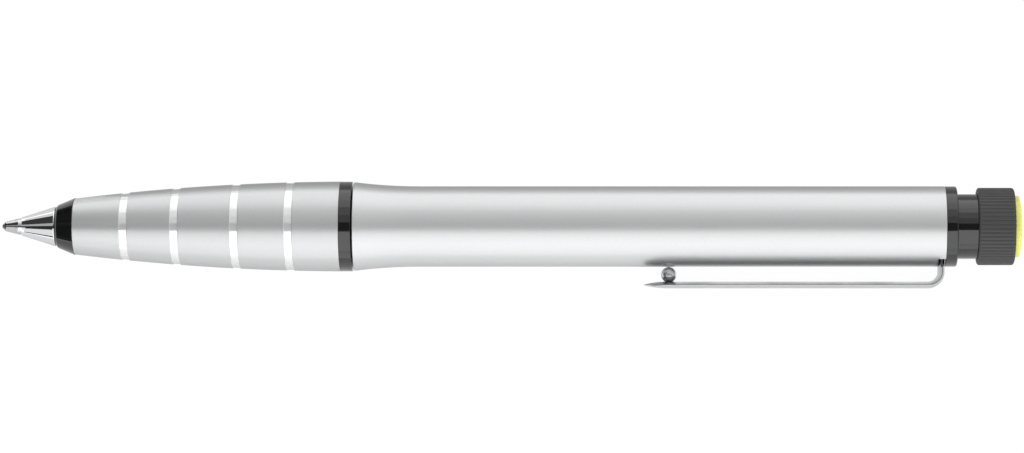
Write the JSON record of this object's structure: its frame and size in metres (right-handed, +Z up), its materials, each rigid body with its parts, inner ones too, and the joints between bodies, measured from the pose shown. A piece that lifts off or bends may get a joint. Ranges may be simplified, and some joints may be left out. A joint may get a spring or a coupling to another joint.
{
  "type": "twist ballpoint pen",
  "caption": "Twist ballpoint pen with a long curved metal grip, bright cone nose, sprung pocket clip, ribbed twist knob with a yellow cap, and a replaceable refill.",
  "frame": {"origin": "under the middle of the pen's box, on the surface that it lies on", "axes": "+X along the pen from the writing tip to the knob, +Z up from the surface, and the clip is on the -Y side, turned down until its edge is just clear of the surface"},
  "size_m": [0.142, 0.015, 0.0125],
  "materials": {
    "barrel_satin": "satin, fine and even, slightly pearly",
    "grip_satin": "satin, a shade darker than the barrel, with polished grooves",
    "bright_chrome": "mirror polished",
    "gloss_black": "gloss",
    "knob_grey": "fine matte, ribbed",
    "cap_yellow": "smooth, soft gloss",
    "brass": "machined",
    "tip_steel": "turned, bright",
    "refill_metal": "drawn tube, satin",
    "spring_steel": "plain wire",
    "tail_plastic": "moulded",
    "ink": "wet gloss",
    "liner_plastic": "moulded",
    "mechanism_plastic": "moulded",
    "plunger_plastic": "moulded",
    "seal_rubber": "moulded"
  },
  "bodies": {
    "barrel_body": {"barrel": "barrel_satin", "barrel_bush": "brass", "rear_bush": "gloss_black", "guide_sleeve": "mechanism_plastic", "spring_washer": "spring_steel", "clip_root": "bright_chrome", "return_spring": "spring_steel"},
    "front_section": {"nose_cone": "bright_chrome", "nose_collar": "gloss_black", "grip_sleeve": "grip_satin", "grip_liner": "liner_plastic", "thread_spigot": "brass", "centre_ring": "gloss_black"},
    "refill": {"writing_ball": "tip_steel", "refill_tip": "tip_steel", "refill_shoulder": "refill_metal", "refill_tube": "refill_metal", "ink_column": "ink", "refill_tail": "tail_plastic", "plunger": "plunger_plastic", "follower_pin": "spring_steel"},
    "knob": {"cam_tube": "mechanism_plastic", "friction_ring": "seal_rubber", "twist_knob": "knob_grey", "knob_cap": "cap_yellow"},
    "clip": {"clip_arm": "bright_chrome", "clip_ball": "bright_chrome"}
  },
  "joints": [
    {"name": "knob_twist", "type": "hinge", "parent": "barrel_body", "child": "knob", "pos_m": [0.06467, 0.00129, 0.00625], "axis": [1, 0, 0], "range_deg": [0, 180]},
    {"name": "refill_slide", "type": "slide", "parent": "barrel_body", "child": "refill", "axis": [1, 0, 0], "range_m": [0, 0.005], "deforming": ["return_spring"]},
    {"name": "front_section_off", "type": "slide", "parent": "barrel_body", "child": "front_section", "axis": [-1, 0, 0], "range_m": [0, 0.06]},
    {"name": "clip_flex", "type": "hinge", "parent": "barrel_body", "child": "clip", "pos_m": [0.0597, -0.00392, 0.0041], "axis": [0, -0.3814, 0.9244], "range_deg": [0, 4], "stiffness_Nm_per_rad": 1}
  ],
  "couplings": [
    {"joint": "knob_twist", "follows": "refill_slide", "rad_per_m": 628.32}
  ]
}
